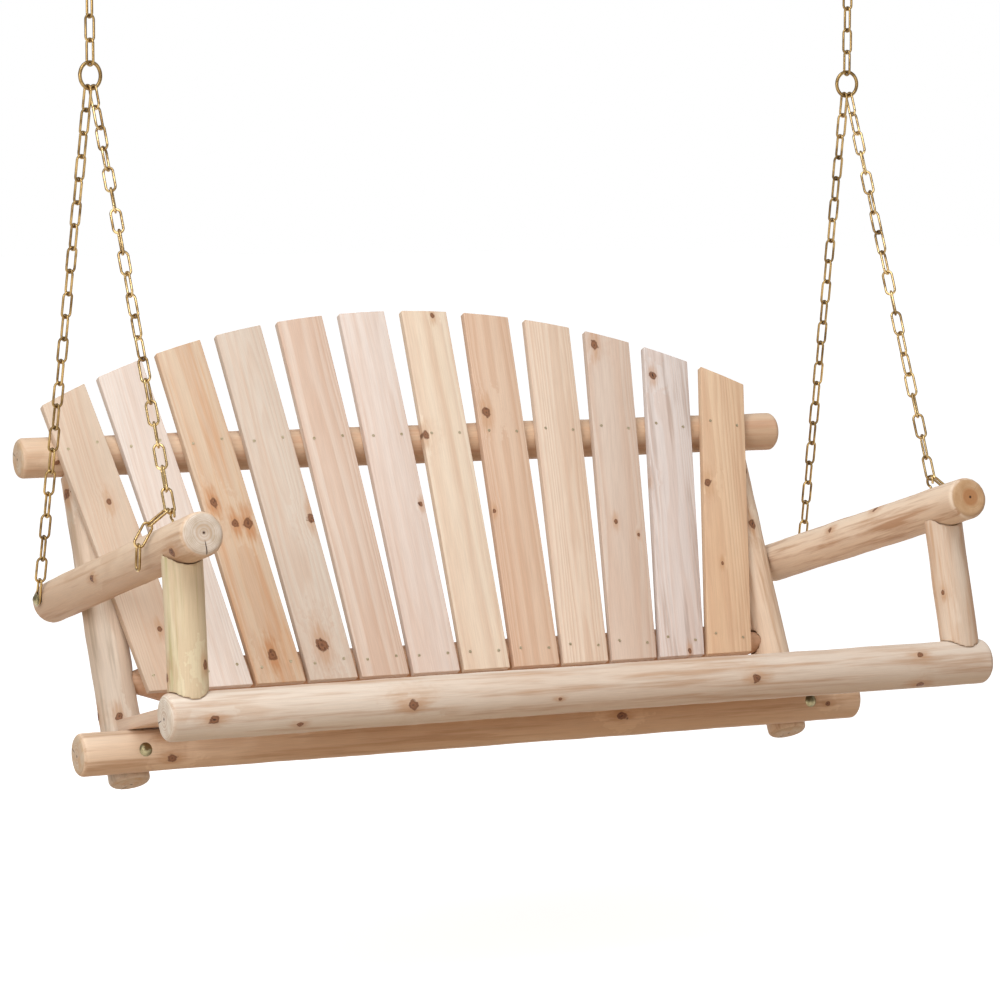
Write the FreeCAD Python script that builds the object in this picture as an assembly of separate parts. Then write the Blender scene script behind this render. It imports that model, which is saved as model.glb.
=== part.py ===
import FreeCAD, Part
import math
import os

# Two-seat log porch swing on chains. Millimetres, +Z up, -Y towards the front. The
# origin is midway between the two ceiling hooks, on the face of the beam that they
# are screwed into. "left" is the -X side.

Vec = FreeCAD.Vector

# --- driving dimensions -----------------------------------------------------------
upright_spacing = 1151.0        # between the uprights' axes; every width follows it
log_length = upright_spacing + 199.0
front_log_radius = 35.0
lower_log_radius = 33.5
top_log_radius = 32.5
rail_log_radius = 32.5
upright_radius = 32.5
arm_radius = 33.0
post_radius = 30.0
log_chamfer = 6.0
hewn_depth = 1.0                # depth of the flat where two pieces cross

front_log_forward = 393.5       # front log's axis, ahead of the lower log's
front_log_rise = 113.0          # and above it
recline = 26.3                  # uprights and slats, degrees back from vertical
back_reach = 507.0              # along the uprights, lower log to top log
upright_foot = 34.0             # uprights' length below the lower log's crossing

arm_front_forward = 425.0       # arms' front ends, ahead of the lower log's axis
arm_front_rise = 373.5          # and above it
arm_front_spacing = upright_spacing + 100.0     # between the arms' axes, in front
arm_tilt = 14.65                # arms rise to the front by this much
arm_tail = 44.0                 # arms' length behind their bolts
post_foot_spacing = arm_front_spacing + 21.0    # the posts' axes, on the front log
post_lean = 12.3

rail_drop = 378.0               # rail's axis, below the top log's along the uprights
rail_tenon_radius = 19.0
rail_taper = 40.0
rail_tenon_depth = 26.0

slat_count = 12
slat_width = 80.5
slat_thickness = 14.0
slat_pitch = (upright_spacing - 180.8) / (slat_count - 1)   # at their lower ends
slat_spread = 0.0375            # gain in pitch for each millimetre up the back
slat_low_end = 408.0            # lower ends, below the top log's axis
slat_crown = 220.0              # middle of the arched top, above that axis
slat_arch_radius = 1376.0
slat_offset = -11.0             # the fan stands a little to the left

board_count = 13
board_gap = 6.0
board_width = (upright_spacing + 38.5) / board_count - board_gap
board_thickness = 19.0
board_tilt = 13.2               # seat boards rise to the front
board_rear = 82.0               # boards' length behind the lower log's axis
board_notch_gap = 1.5           # the outer boards are notched around the uprights
rebate_setback = 4.0            # front log's rebate starts behind its axis

nail_head_radius = 2.4
nail_head_proud = 0.6
nail_head_height = 1.2
nail_radius = 1.4
nail_length = 42.0
nail_side = 25.0                # from the middle of a slat or board

bolt_radius = 4.75
bolt_tilt = 12.5                # upright bolts fall to the rear
bolt_head_radius = 10.5
bolt_head_height = 5.5
arm_bolt_radius = 4.0
arm_bolt_head_radius = 8.5
arm_bolt_head_height = 5.0
washer_radius = 10.5
washer_thickness = 1.8
nut_across_corners = 17.3
nut_height = 8.0
thread_proud = 4.0
spot_depth = 2.0                # spot-faces under heads and washers
spot_gap = 0.5                  # and their clearance around a washer
dowel_radius = 10.0
dowel_length = 50.0

link_wire = 3.9
link_inside = 10.7              # between a link's two sides
link_play = 0.2                 # slack in each joint of the chain
seat_play = 0.15                # slack where a chain sits on a ring, hook or bolt
pivot_play = 0.35               # the same where it is a moving joint
ring_wire = 5.5
ring_outer = 45.0
ring_rise = 1014.0              # rings' centres, above the lower log's axis
ring_back = -11.0               # and behind it: over the seat's centre of mass
ring_spacing = upright_spacing + 139.0
ring_turn = {"left": 22.0, "right": 5.0}
ring_shift = link_wire + 0.7    # the two legs' places, each side of a ring's middle
rear_links = 23
front_links = {"left": 20, "right": 19}
front_turn = {"left": 180.0, "right": 270.0}
upper_links = 5
upper_pitch = 35.0

arm_hook_wire = 4.0
arm_hook_bend = 7.75
arm_hook_elbow = 4.0
arm_hook_forward = 318.0        # ahead of the lower log's axis
arm_hook_rise = 12.0            # bend's centre above the arm's crest
arm_hook_thread = 32.0
tail_falls = (37.0, 60.0, 88.0)  # each tail link's slope below level

beam_hook_wire = 8.0
beam_hook_bend = 14.0
beam_hook_elbow = 10.0
beam_hook_neck = 26.0
beam_hook_thread = 48.0
hook_mouth = 145.0              # a hook's tip stands this far round from its stem

outward = {"left": -1.0, "right": 1.0}


# --- places worked out from the dimensions ----------------------------------------
def slope(degrees):
    """Unit vectors along and behind a member leaning back by this angle."""
    a = math.radians(degrees)
    return Vec(0, math.sin(a), math.cos(a)), Vec(0, math.cos(a), -math.sin(a))


def elbow_height(bend, elbow):
    """From a hook's bend centre to the start of its straight stem."""
    return math.sqrt(bend ** 2 + 2 * bend * elbow)


link_inner = link_inside / 2
link_bend = (link_inside + link_wire) / 2
# An arm hook and the first spare link share the last front link, side by side.
share_gap = (link_inside - arm_hook_wire - link_wire) / 3
arm_hook_shift = link_inner - share_gap - arm_hook_wire / 2
tail_shift = link_inner - share_gap - link_wire / 2

ring_radius = (ring_outer - ring_wire) / 2
ring_crown = ring_rise + ring_radius
beam_hook_rise = ring_crown - (ring_wire + beam_hook_wire) / 2 + upper_links * upper_pitch
beam_rise = (beam_hook_rise + beam_hook_bend
             + elbow_height(beam_hook_bend, beam_hook_elbow) + beam_hook_neck)


def at(x, y, z):
    """A point measured from the lower log's axis, in the object's frame."""
    return Vec(x, y - ring_back, z - beam_rise)


def side_view(point):
    return Vec(0, point.y, point.z)


axis_x = Vec(1, 0, 0)
axis_y = Vec(0, 1, 0)
axis_z = Vec(0, 0, 1)
back_up, back_out = slope(recline)
post_up = slope(post_lean)[0]
board_up = slope(board_tilt)[0]
board_forward = slope(board_tilt)[1] * -1
arm_up = slope(arm_tilt)[0]
arm_rearward = slope(arm_tilt)[1]
bolt_heading = slope(bolt_tilt)[1]

lower_axis = at(0, 0, 0)
front_axis = at(0, -front_log_forward, front_log_rise)
upright_seat = lower_axis + back_out * (lower_log_radius + upright_radius - hewn_depth)
back_front = upright_seat - back_out * upright_radius      # slats' rear faces
top_axis = back_front + back_out * top_log_radius + back_up * back_reach
rail_axis = back_front + back_out * rail_log_radius + back_up * (back_reach - rail_drop)
slat_datum = back_front + back_up * back_reach
board_floor = lower_axis + board_up * (lower_log_radius - hewn_depth)
board_front = board_floor + board_forward * (
    (front_axis - board_floor).dot(board_forward) - rebate_setback)
boards_span = board_count * (board_width + board_gap) - board_gap


def crossing(start, heading, point, normal):
    """How far along a line it meets the plane through a point."""
    return (point - start).dot(normal) / heading.dot(normal)


def arm_front(side):
    return at(outward[side] * arm_front_spacing / 2, -arm_front_forward, arm_front_rise)


arm_run = crossing(side_view(arm_front("left")), arm_rearward, upright_seat, back_out)
arm_joint = side_view(arm_front("left")) + arm_rearward * arm_run
arm_joint_half = upright_spacing / 2 + upright_radius + arm_radius - hewn_depth


def arm_point(side, run):
    """A point on an arm's axis; the arms splay to lie flat on the uprights."""
    start = arm_front(side)
    splay = (outward[side] * arm_joint_half - start.x) / arm_run
    return start + (arm_rearward + axis_x * splay) * run


def upright_axis(side, reach):
    return upright_seat + axis_x * (outward[side] * upright_spacing / 2) + back_up * reach


# --- shapes -----------------------------------------------------------------------
def rod(start, end, radius):
    return Part.makeCylinder(radius, (end - start).Length, start, end - start)


def peeled_log(start, end, radius):
    """A round log with both ends chamfered."""
    body = rod(start, end, radius)
    return body.makeChamfer(log_chamfer, [e for e in body.Edges if e.isClosed()])


def cross_log(axis_point, radius):
    half = axis_x * (log_length / 2)
    return peeled_log(axis_point - half, axis_point + half, radius)


def block(corner, edge_a, edge_b, edge_c):
    """A box on one corner, with three edges given as vectors."""
    outline = [corner, corner + edge_a, corner + edge_a + edge_b, corner + edge_b, corner]
    return Part.Face(Part.makePolygon(outline)).extrude(edge_c)


def swept(edges, wire):
    """A round wire of this diameter bent along these edges."""
    first = edges[0]
    section = Part.makeCircle(wire / 2, first.valueAt(first.FirstParameter),
                              first.tangentAt(first.FirstParameter))
    return Part.Wire(edges).makePipeShell([Part.Wire([section])], True, False)


def bent_hook(centre, stem_way, side_way, wire, bend, elbow, stem):
    """An open hook: a round bend about a centre, an elbow, and a straight stem."""
    drop = elbow_height(bend, elbow)

    def spot(across, along):
        return centre + side_way * across + stem_way * along

    def around(mid_across, mid_along, radius, degrees):
        a = math.radians(degrees)
        return spot(mid_across + radius * math.cos(a), mid_along + radius * math.sin(a))

    meet = math.degrees(math.atan2(drop, elbow))
    stem_line = Part.makeLine(spot(0, drop + stem), spot(0, drop))
    elbow_arc = Part.Arc(spot(0, drop), around(elbow, drop, elbow, 180 + meet / 2),
                         around(elbow, drop, elbow, 180 + meet)).toShape()
    turn = meet + 360 - hook_mouth
    bend_arc = Part.Arc(around(0, 0, bend, meet), around(0, 0, bend, meet - turn / 2),
                        around(0, 0, bend, meet - turn)).toShape()
    return swept([stem_line, elbow_arc, bend_arc], wire)


def chain_link(start, heading, inner_length, roll):
    """One link: two straight sides and two round ends, rolled about its length."""
    way = Vec(heading).normalize()
    flat = (axis_x - way * axis_x.dot(way)).normalize()
    edge = way.cross(flat)
    a = math.radians(roll)
    across = edge * math.cos(a) + flat * math.sin(a)
    normal = way.cross(across)
    near = start + way * link_inner
    far = start + way * (inner_length - link_inner)
    straights = [rod(near + across * (link_bend * s), far + across * (link_bend * s),
                     link_wire / 2) for s in (-1, 1)]
    ends = []
    for middle, spin in ((near, normal), (far, normal * -1)):
        section = Part.makeCircle(link_wire / 2, middle + across * link_bend, way)
        ends.append(Part.Face(Part.Wire([section])).revolve(middle, spin, 180))
    return straights[0].multiFuse([straights[1]] + ends).removeSplitter()


def end_depth(wire, play, shift=0.0):
    """From a wire's centre to the inside of the link end that it sits in."""
    return link_inner - math.sqrt((link_inner - wire / 2 - play) ** 2 - shift ** 2)


def chain(start, end, count, turn_start, turn_end):
    """Links in line from one inner end to the other, every other one at right angles."""
    step = (end - start) / count
    links = []
    for i in range(count):
        roll = 90.0 * (i % 2) + turn_start + (turn_end - turn_start) * i / max(count - 1, 1)
        way = Vec(step).normalize()
        first = start + step * i - way * (link_play / 2)
        links.append(chain_link(first, step, step.Length + link_play, roll))
    return links


def nail(surface_point, heading):
    head = surface_point - heading * nail_head_proud
    cap = Part.makeCylinder(nail_head_radius, nail_head_height, head, heading)
    shank = Part.makeCylinder(nail_radius, nail_length, head, heading)
    return cap.fuse(shank).removeSplitter()


def domed_bolt(seat, heading, radius, length, head_radius, head_height):
    """A carriage bolt: its domed head stands off its seat, its shank goes in."""
    aside = heading.cross(axis_z).normalize()
    ball = (head_radius ** 2 + head_height ** 2) / (2 * head_height)
    half_way = math.asin(head_radius / ball) / 2
    crown = seat - heading * head_height
    rim = seat + aside * head_radius
    arc_middle = (seat + heading * (ball - head_height - ball * math.cos(half_way))
                  + aside * (ball * math.sin(half_way)))
    corners = [rim, seat + aside * radius, seat + aside * radius + heading * length,
               seat + heading * length, crown]
    outline = [Part.Arc(crown, arc_middle, rim).toShape()]
    outline += [Part.makeLine(a, b) for a, b in zip(corners, corners[1:])]
    return Part.Face(Part.Wire(outline)).revolve(seat, heading, 360)


def washer(face_point, heading, bore):
    disc = Part.makeCylinder(washer_radius, washer_thickness, face_point, heading)
    return disc.cut(Part.makeCylinder(bore, washer_thickness, face_point, heading))


def nut(face_point, heading, bore):
    """A hexagon nut with its washer already under it."""
    flat = axis_z if abs(heading.x) > 0.5 else axis_x
    other = heading.cross(flat)
    turns = [math.radians(60 * i) for i in range(7)]
    rim = [face_point + (flat * math.cos(t) + other * math.sin(t)) * (nut_across_corners / 2)
           for t in turns]
    body = Part.Face(Part.makePolygon(rim)).extrude(heading * nut_height)
    return body.cut(Part.makeCylinder(bore, nut_height, face_point, heading))


def export(shape, name):
    shape.exportStep("parts/" + name + ".step")


def export_group(shapes, name):
    export(Part.makeCompound(shapes), name)


# --- frame logs -------------------------------------------------------------------
def arm_cylinder(side):
    return rod(arm_point(side, 0), arm_point(side, arm_run + arm_tail), arm_radius)


def post_axis(side):
    """A post's ends, on the front log's axis and on its arm's axis."""
    foot = front_axis + axis_x * (outward[side] * post_foot_spacing / 2)
    rise = crossing(front_axis, post_up, side_view(arm_front(side)), arm_up)
    head_side = front_axis + post_up * rise
    run = (head_side - side_view(arm_front(side))).dot(arm_rearward)
    return foot, arm_point(side, run)


def dowel(middle, heading):
    way = Vec(heading).normalize() * (dowel_length / 2)
    return rod(middle - way, middle + way, dowel_radius)


def post_dowels(side):
    """Dowels that tie a post to the front log and to its arm."""
    foot, head = post_axis(side)
    way = (head - foot).normalize()
    return [dowel(foot + way * front_log_radius, way), dowel(head - way * arm_radius, way)]


def top_dowel(side):
    return dowel(upright_axis(side, back_reach) - back_up * top_log_radius, back_up)


def upright_bolt(side):
    """Bolt line through the lower log: its head's seat and its nut's seat."""
    x = axis_x * (outward[side] * upright_spacing / 2)
    head = lower_axis + x - bolt_heading * (lower_log_radius - spot_depth)
    through = crossing(lower_axis, bolt_heading, upright_seat, back_out)
    behind = upright_radius / bolt_heading.dot(back_out)
    return head, lower_axis + x + bolt_heading * (through + behind - spot_depth)


def arm_bolt(side):
    """Bolt line through an arm and its upright: the arm's outer face, the nut's seat."""
    out = axis_x * outward[side]
    outer = arm_joint + out * (arm_joint_half + arm_radius)
    return outer, arm_joint + out * (upright_spacing / 2 - upright_radius + spot_depth)


def spot_face(seat, heading):
    return Part.makeCylinder(washer_radius + spot_gap, upright_radius, seat, heading)


def rebate():
    """The space that the seat boards take, cut from both of the logs below them."""
    corner = board_front - axis_x * (boards_span / 2)
    length = (board_front - board_floor).Length + board_rear
    return block(corner, axis_x * boards_span, board_forward * -length,
                 board_up * (front_log_radius * 2))


sides = ("left", "right")


def make_frame():
    cut_seat = rebate()
    lower_cuts = [cut_seat]
    top_cuts = [top_dowel(s) for s in sides]
    front_cuts = [cut_seat] + [post_dowels(s)[0] for s in sides]
    for side in sides:
        head, tail = upright_bolt(side)
        lower_cuts.append(rod(head, tail, bolt_radius))
        lower_cuts.append(spot_face(head, bolt_heading * -1))
    export(cross_log(front_axis, front_log_radius).cut(front_cuts), "front_log")
    export(cross_log(lower_axis, lower_log_radius).cut(lower_cuts), "lower_log")
    export(cross_log(top_axis, top_log_radius).cut(top_cuts), "top_log")
    for side in sides:
        make_upright(side)
        make_arm(side)
        make_post(side)
    make_rail()


def make_upright(side):
    out = axis_x * outward[side]
    head, tail = upright_bolt(side)
    face, nut_seat = arm_bolt(side)
    top = rod(upright_axis(side, 0), upright_axis(side, back_reach), upright_radius)
    foot = peeled_log(upright_axis(side, -upright_foot), upright_axis(side, back_reach / 2),
                      upright_radius)
    cuts = [rod(top_axis - axis_x * log_length, top_axis + axis_x * log_length, top_log_radius),
            rod(lower_axis - axis_x * log_length, lower_axis + axis_x * log_length,
                lower_log_radius),
            rod(head, tail, bolt_radius), spot_face(tail, bolt_heading),
            rod(face, nut_seat, arm_bolt_radius), spot_face(nut_seat, out * -1),
            rail_tenon(side), top_dowel(side)]
    export(foot.fuse(top).removeSplitter().cut(cuts), side + "_upright")


def make_arm(side):
    face, nut_seat = arm_bolt(side)
    arm = peeled_log(arm_point(side, 0), arm_point(side, arm_run + arm_tail), arm_radius)
    upright = rod(upright_axis(side, 0), upright_axis(side, back_reach), upright_radius)
    centre, stem_way = arm_hook_frame(side)[:2]
    stem = rod(centre, centre + stem_way * arm_hook_stem_end(), arm_hook_wire / 2)
    bore = rod(face + axis_x * (outward[side] * arm_radius), nut_seat, arm_bolt_radius)
    cuts = [upright, bore, post_dowels(side)[1], stem]
    export(arm.cut(cuts), side + "_arm")


def make_post(side):
    foot, head = post_axis(side)
    front = rod(front_axis - axis_x * log_length, front_axis + axis_x * log_length,
                front_log_radius)
    post = rod(foot, head, post_radius)
    export(post.cut([front, arm_cylinder(side)] + post_dowels(side)), side + "_arm_post")


def rail_tenon(side):
    out = axis_x * outward[side]
    shoulder = rail_axis + out * (upright_spacing / 2 - upright_radius)
    return rod(shoulder - out, shoulder + out * rail_tenon_depth, rail_tenon_radius)


def make_rail():
    """The lower back rail: a log tapered at each end to a tenon in the upright."""
    half = upright_spacing / 2 - upright_radius
    rail = rod(rail_axis - axis_x * (half - rail_taper), rail_axis + axis_x * (half - rail_taper),
               rail_log_radius)
    for side in sides:
        out = axis_x * outward[side]
        cone = Part.makeCone(rail_log_radius, rail_tenon_radius, rail_taper,
                             rail_axis + out * (half - rail_taper), out)
        rail = rail.fuse([cone, rail_tenon(side)])
    export(rail.removeSplitter(), "back_rail")


# --- back slats and seat boards ---------------------------------------------------
def slat_line(index, height):
    """Middle of a slat's rear face at a height above the top log's axis."""
    pitch = slat_pitch + slat_spread * (height + slat_low_end)
    x = slat_offset + (index - (slat_count - 1) / 2) * pitch
    return slat_datum + axis_x * x + back_up * height


def fan_blank():
    """The back's outline, level below and arched on top, as one thick sheet."""
    half = slat_count * slat_pitch * 0.75
    fall = slat_arch_radius - math.sqrt(slat_arch_radius ** 2 - half ** 2)
    base = slat_datum + axis_x * slat_offset
    low = base - back_up * slat_low_end
    crown = base + back_up * slat_crown
    shoulders = [crown - back_up * fall + axis_x * (half * s) for s in (-1, 1)]
    feet = [low + axis_x * (half * s) for s in (-1, 1)]
    arch = Part.Arc(shoulders[0], crown, shoulders[1]).toShape()
    lines = [Part.makeLine(shoulders[1], feet[1]), Part.makeLine(feet[1], feet[0]),
             Part.makeLine(feet[0], shoulders[0])]
    return Part.Face(Part.Wire([arch] + lines)).extrude(back_out * -slat_thickness)


def make_slats():
    blank = fan_blank()
    nails = []
    for i in range(slat_count):
        low = slat_line(i, -slat_low_end - slat_width)
        rise = slat_line(i, slat_crown + slat_width) - low
        across = rise.cross(back_out).normalize()
        board = block(low - across * (slat_width / 2), across * slat_width, rise,
                      back_out * -slat_thickness)
        export(board.common(blank), "back_slat_%02d" % (i + 1))
        for height in (0.0, -rail_drop):
            middle = slat_line(i, height) - back_out * slat_thickness
            nails += [nail(middle + across * (nail_side * s), back_out) for s in (-1, 1)]
    export_group(nails, "slat_nails")


def make_boards():
    length = (board_front - board_floor).Length + board_rear
    front_row = (front_axis - board_floor).dot(board_forward) - front_log_radius / 2
    notches = [rod(upright_axis(s, 0), upright_axis(s, back_reach),
                   upright_radius + board_notch_gap) for s in sides]
    nails = []
    for i in range(board_count):
        x = (i - (board_count - 1) / 2) * (board_width + board_gap)
        corner = board_front + axis_x * (x - board_width / 2)
        board = block(corner, axis_x * board_width, board_forward * -length,
                      board_up * board_thickness)
        export(board.cut(notches), "seat_board_%02d" % (i + 1))
        for row in (0.0, front_row):
            middle = board_floor + axis_x * x + board_forward * row + board_up * board_thickness
            nails += [nail(middle + axis_x * (nail_side * s), board_up * -1) for s in (-1, 1)]
    export_group(nails, "seat_nails")


# --- bolts and dowels -------------------------------------------------------------
def make_fasteners():
    bolts, nuts, arm_bolts, arm_washers, arm_nuts, dowels = [], [], [], [], [], []
    for side in sides:
        out = axis_x * outward[side]
        head, tail = upright_bolt(side)
        length = (tail - head).Length + washer_thickness + nut_height + thread_proud
        bolts.append(domed_bolt(head, bolt_heading, bolt_radius, length,
                                bolt_head_radius, bolt_head_height))
        nuts.append(washer(tail, bolt_heading, bolt_radius))
        nuts.append(nut(tail + bolt_heading * washer_thickness, bolt_heading, bolt_radius))

        face, nut_seat = arm_bolt(side)
        under_washer = face + out * (link_wire + 2 * seat_play)
        under_head = under_washer + out * washer_thickness
        length = (nut_seat - under_head).Length + washer_thickness + nut_height + thread_proud
        arm_bolts.append(domed_bolt(under_head, out * -1, arm_bolt_radius, length,
                                    arm_bolt_head_radius, arm_bolt_head_height))
        arm_washers.append(washer(under_washer, out, arm_bolt_radius))
        arm_nuts.append(washer(nut_seat, out * -1, arm_bolt_radius))
        arm_nuts.append(nut(nut_seat - out * washer_thickness, out * -1, arm_bolt_radius))
        dowels += post_dowels(side) + [top_dowel(side)]
    export_group(bolts, "upright_bolts")
    export_group(nuts, "upright_bolt_nuts")
    export_group(arm_bolts, "arm_bolts")
    export_group(arm_washers, "arm_bolt_washers")
    export_group(arm_nuts, "arm_bolt_nuts")
    export_group(dowels, "frame_dowels")


# --- chains, rings and hooks ------------------------------------------------------
def ring_centre(side):
    return at(outward[side] * ring_spacing / 2, ring_back, ring_rise)


def ring_place(side, shift, level):
    """Centre of a ring's wire, to one side of its bottom (-1) or its top (1)."""
    a = math.radians(ring_turn[side])
    across = Vec(math.cos(a), math.sin(a), 0)
    rise = math.sqrt(ring_radius ** 2 - shift ** 2)
    return ring_centre(side) + across * shift + axis_z * (rise * level)


def make_ring(side):
    a = math.radians(ring_turn[side])
    normal = Vec(-math.sin(a), math.cos(a), 0)
    ring = Part.makeTorus(ring_radius, ring_wire / 2, ring_centre(side), normal)
    export(ring, side + "_ring")


def arm_hook_stem_end():
    return elbow_height(arm_hook_bend, arm_hook_elbow) + arm_hook_thread


def arm_hook_frame(side):
    """An arm hook's bend centre, the way its stem goes, and the way it opens."""
    run = crossing(arm_front(side), arm_rearward, at(0, -arm_hook_forward, 0), axis_y)
    crest = arm_point(side, run) + arm_up * arm_radius
    centre = crest + arm_up * arm_hook_rise
    return centre, arm_up * -1, arm_rearward


def front_chain_end(side):
    """Inside of the last front link, and its middle line's heading from the ring."""
    centre = arm_hook_frame(side)[0]
    chain_x = axis_x * (outward[side] * arm_hook_shift)
    start = ring_place(side, ring_shift, -1)
    way = (centre + chain_x - start).normalize()
    wire = centre + chain_x - way * arm_hook_bend
    return wire + way * end_depth(arm_hook_wire, seat_play, arm_hook_shift), way


def make_rear_chain(side):
    out = axis_x * outward[side]
    start = ring_place(side, -ring_shift, -1)
    end = arm_bolt(side)[0] + out * (link_wire / 2 + seat_play)
    way = (end - start).normalize()
    first = start - way * end_depth(ring_wire, seat_play)
    last = end + way * end_depth(arm_bolt_radius * 2, seat_play)
    export_group(chain(first, last, rear_links, ring_turn[side], 0.0), side + "_rear_chain")


def make_front_chain(side):
    last, way = front_chain_end(side)
    first = ring_place(side, ring_shift, -1) - way * end_depth(ring_wire, seat_play)
    links = chain(first, last, front_links[side], ring_turn[side], front_turn[side])
    export_group(links, side + "_front_chain")
    return (last - first).Length / front_links[side]


def make_tail(side, pitch):
    """The front chain's spare links, lying over the outer side of the arm."""
    last, way = front_chain_end(side)
    pivot = (last - way * (link_inner - share_gap)
             + axis_x * (outward[side] * tail_shift))
    lean = (link_wire + link_play) / 2
    falls = [math.radians(f) for f in tail_falls]
    headings = [Vec(outward[side] * math.cos(a), 0, -math.sin(a)) for a in falls]
    links = []
    joint = pivot + headings[0] * lean
    for i, heading in enumerate(headings):
        if i > 0:
            joint += (headings[i - 1] - heading) * (lean if i % 2 else -lean)
        links += chain(joint, joint + heading * pitch, 1, 90.0 * (i % 2), 0.0)
        joint += heading * pitch
    export_group(links, side + "_chain_tail")
    return pivot


def make_upper_chain(side):
    ring_wire_top = ring_place(side, 0.0, 1)
    hook_wire = at(outward[side] * ring_spacing / 2, ring_back, beam_hook_rise)
    first = hook_wire + axis_z * end_depth(beam_hook_wire, pivot_play)
    last = ring_wire_top - axis_z * end_depth(ring_wire, pivot_play)
    links = chain(first, last, upper_links, 0.0, ring_turn[side])
    export_group(links, side + "_upper_chain")


def make_hooks(side):
    centre, stem_way, side_way = arm_hook_frame(side)
    export(bent_hook(centre, stem_way, side_way, arm_hook_wire, arm_hook_bend,
                     arm_hook_elbow, arm_hook_thread), side + "_arm_hook")
    bend_centre = at(outward[side] * ring_spacing / 2, ring_back,
                     beam_hook_rise + beam_hook_bend)
    export(bent_hook(bend_centre, axis_z, axis_x * outward[side], beam_hook_wire,
                     beam_hook_bend, beam_hook_elbow, beam_hook_neck + beam_hook_thread),
           side + "_ceiling_hook")


def make_hangings():
    for side in sides:
        make_ring(side)
        make_rear_chain(side)
        pitch = make_front_chain(side)
        pivot = make_tail(side, pitch)
        make_upper_chain(side)
        make_hooks(side)
        print(side, "spare links turn about", pivot)
        print(side, "ring turns about", ring_place(side, 0.0, 1))
        print(side, "upper chain turns about",
              at(outward[side] * ring_spacing / 2, ring_back, beam_hook_rise))


os.makedirs("parts", exist_ok=True)
make_frame()
make_slats()
make_boards()
make_fasteners()
make_hangings()
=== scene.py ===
import bpy
import math
from mathutils import Euler, Matrix, Vector


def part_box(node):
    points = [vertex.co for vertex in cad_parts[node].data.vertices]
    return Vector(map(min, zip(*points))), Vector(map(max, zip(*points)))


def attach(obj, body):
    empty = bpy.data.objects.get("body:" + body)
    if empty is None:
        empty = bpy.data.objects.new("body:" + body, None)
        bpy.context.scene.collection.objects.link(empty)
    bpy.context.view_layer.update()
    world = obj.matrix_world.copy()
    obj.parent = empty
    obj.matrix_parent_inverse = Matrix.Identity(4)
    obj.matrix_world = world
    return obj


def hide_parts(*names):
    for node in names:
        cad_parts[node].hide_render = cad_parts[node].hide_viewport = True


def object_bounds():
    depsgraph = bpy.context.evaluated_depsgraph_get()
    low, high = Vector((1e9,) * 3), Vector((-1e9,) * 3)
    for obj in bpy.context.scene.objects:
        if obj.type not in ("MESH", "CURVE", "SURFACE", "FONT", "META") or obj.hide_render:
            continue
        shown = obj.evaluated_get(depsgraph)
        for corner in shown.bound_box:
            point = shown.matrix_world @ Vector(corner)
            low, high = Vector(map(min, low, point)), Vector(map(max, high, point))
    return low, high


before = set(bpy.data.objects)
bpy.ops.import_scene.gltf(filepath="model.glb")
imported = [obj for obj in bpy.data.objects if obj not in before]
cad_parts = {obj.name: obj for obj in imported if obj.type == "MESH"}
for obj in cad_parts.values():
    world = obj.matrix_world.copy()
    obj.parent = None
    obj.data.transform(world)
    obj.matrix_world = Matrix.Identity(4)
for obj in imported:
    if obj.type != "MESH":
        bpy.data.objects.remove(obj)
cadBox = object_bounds()
print("frame loaded,", len(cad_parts), "nodes")

rightWay = Vector((1, 0, 0))
frontWay = Vector((0, -1, 0))
upWay = Vector((0, 0, 1))


def tone(red, green, blue):                      # a screen colour, 0 to 255, as linear light
    parts = [c / 255 for c in (red, green, blue)]
    return tuple(((c + 0.055) / 1.055) ** 2.4 if c > 0.04 else c / 12.92 for c in parts) + (1.0,)


def pickOnly(piece):
    bpy.ops.object.select_all(action="DESELECT")
    piece.select_set(True)
    bpy.context.view_layer.objects.active = piece


def addModifier(piece, kind, **settings):        # added, set and applied
    pickOnly(piece)
    modifier = piece.modifiers.new(kind.title(), kind)
    for setting, value in settings.items():
        setattr(modifier, setting, value)
    bpy.ops.object.modifier_apply(modifier=modifier.name)


def copyNode(node, name):                        # a welded copy of a CAD solid, ready to shape
    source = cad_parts[node]
    piece = bpy.data.objects.new(name, source.data.copy())
    bpy.context.collection.objects.link(piece)
    piece.data.materials.clear()
    pickOnly(piece)
    bpy.ops.object.mode_set(mode="EDIT")
    bpy.ops.mesh.select_all(action="SELECT")
    bpy.ops.mesh.remove_doubles(threshold=0.00002)
    bpy.ops.mesh.dissolve_limited(angle_limit=math.radians(1.0))
    bpy.ops.object.mode_set(mode="OBJECT")
    return piece


def middleOf(node):
    low, high = (Vector(corner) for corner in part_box(node))
    return (low + high) / 2


# shader pieces that several materials share
def addShader(tree, kind, feeds=None, **settings):
    made = tree.nodes.new("ShaderNode" + kind)
    for setting, value in settings.items():
        setattr(made, setting, value)
    for socket, feed in (feeds or {}).items():
        if isinstance(feed, bpy.types.NodeSocket):
            tree.links.new(feed, made.inputs[socket])
        else:
            made.inputs[socket].default_value = feed
    return made


def calc(tree, operation, first, second=0.0, clamp=False):
    return addShader(tree, "Math", {0: first, 1: second}, operation=operation,
                     use_clamp=clamp).outputs[0]


def vecCalc(tree, operation, first, second=(0, 0, 0)):
    made = addShader(tree, "VectorMath", {0: first, 1: second}, operation=operation)
    return made.outputs["Value" if operation in ("LENGTH", "DOT_PRODUCT") else "Vector"]


def noise(tree, vector, seed, scale, detail=3.0, roughness=0.5):
    return addShader(tree, "TexNoise", {"Vector": vector, "W": seed, "Scale": scale,
                                        "Detail": detail, "Roughness": roughness},
                     noise_dimensions="4D").outputs["Fac"]


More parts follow.
